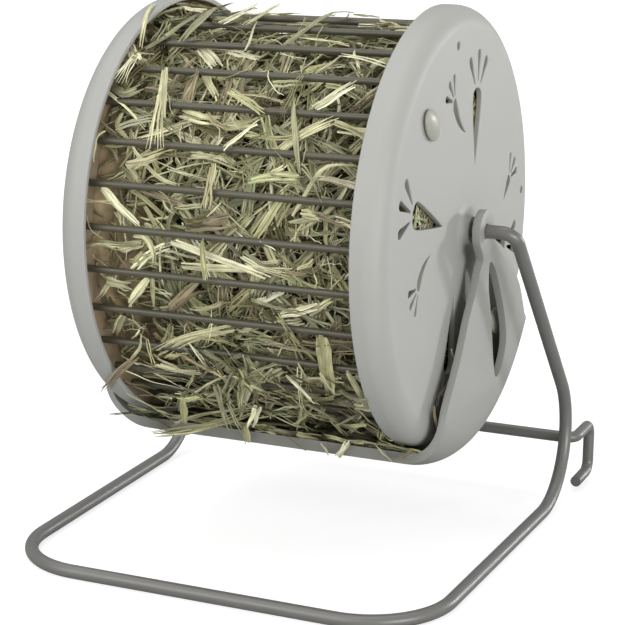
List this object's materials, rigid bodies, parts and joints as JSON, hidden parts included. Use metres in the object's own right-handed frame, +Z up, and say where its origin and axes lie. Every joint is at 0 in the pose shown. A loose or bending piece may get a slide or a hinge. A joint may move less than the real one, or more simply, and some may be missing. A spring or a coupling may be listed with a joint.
{
  "type": "rolling hay feeder",
  "caption": "Rolling hay feeder: a wire-caged drum with pierced end caps turns on a bent-wire stand above a swinging catch tray.",
  "frame": {"origin": "on the floor under the middle of the axle: the base's underside, midway between the two arms", "axes": "+X along the axle towards the lid, +Y towards the crossbar and its hooks at the back, +Z up"},
  "size_m": [0.1996, 0.2114, 0.2245],
  "materials": {
    "cap_plastic": "semi-gloss grey",
    "ring_plastic": "semi-gloss grey",
    "latch_plastic": "semi-gloss cream",
    "tray_plastic": "semi-gloss grey",
    "coated_wire": "dark grey, semi-gloss",
    "cage_steel": "dark grey, semi-gloss",
    "hay": "dry green and straw stalks"
  },
  "bodies": {
    "stand": {"stand_wire": "coated_wire", "rear_crossbar": "coated_wire"},
    "drum": {"lid": "cap_plastic", "left_cap": "cap_plastic", "right_ring": "ring_plastic", "left_ring": "ring_plastic", "cage_wire_01": "cage_steel", "cage_wire_02": "cage_steel", "cage_wire_03": "cage_steel", "cage_wire_04": "cage_steel", "cage_wire_05": "cage_steel", "cage_wire_06": "cage_steel", "cage_wire_07": "cage_steel", "cage_wire_08": "cage_steel", "cage_wire_09": "cage_steel", "cage_wire_10": "cage_steel", "cage_wire_11": "cage_steel", "cage_wire_12": "cage_steel", "cage_wire_13": "cage_steel", "cage_wire_14": "cage_steel", "cage_wire_15": "cage_steel", "cage_wire_16": "cage_steel", "cage_wire_17": "cage_steel", "cage_wire_18": "cage_steel", "cage_wire_19": "cage_steel", "cage_wire_20": "cage_steel", "cage_wire_21": "cage_steel", "cage_wire_22": "cage_steel", "cage_wire_23": "cage_steel", "cage_wire_24": "cage_steel", "cage_wire_25": "cage_steel", "cage_wire_26": "cage_steel", "cage_wire_27": "cage_steel", "cage_wire_28": "cage_steel", "cage_wire_29": "cage_steel", "cage_wire_30": "cage_steel", "hay_fill": "hay"},
    "tray": {"catch_tray": "tray_plastic"},
    "front_latch": {"front_latch": "latch_plastic"},
    "rear_latch": {"rear_latch": "latch_plastic"}
  },
  "joints": [
    {"name": "drum_spin", "type": "hinge", "parent": "stand", "child": "drum", "pos_m": [0, 0, 0.1345], "axis": [1, 0, 0], "continuous": true},
    {"name": "tray_swing", "type": "hinge", "parent": "stand", "child": "tray", "pos_m": [0, 0, 0.1345], "axis": [1, 0, 0], "continuous": true},
    {"name": "front_latch_turn", "type": "hinge", "parent": "drum", "child": "front_latch", "pos_m": [0.065, -0.04241, 0.18243], "axis": [1, 0, 0], "range_deg": [0, 90]},
    {"name": "rear_latch_turn", "type": "hinge", "parent": "drum", "child": "rear_latch", "pos_m": [0.065, 0.04241, 0.08657], "axis": [1, 0, 0], "range_deg": [0, 90]}
  ]
}
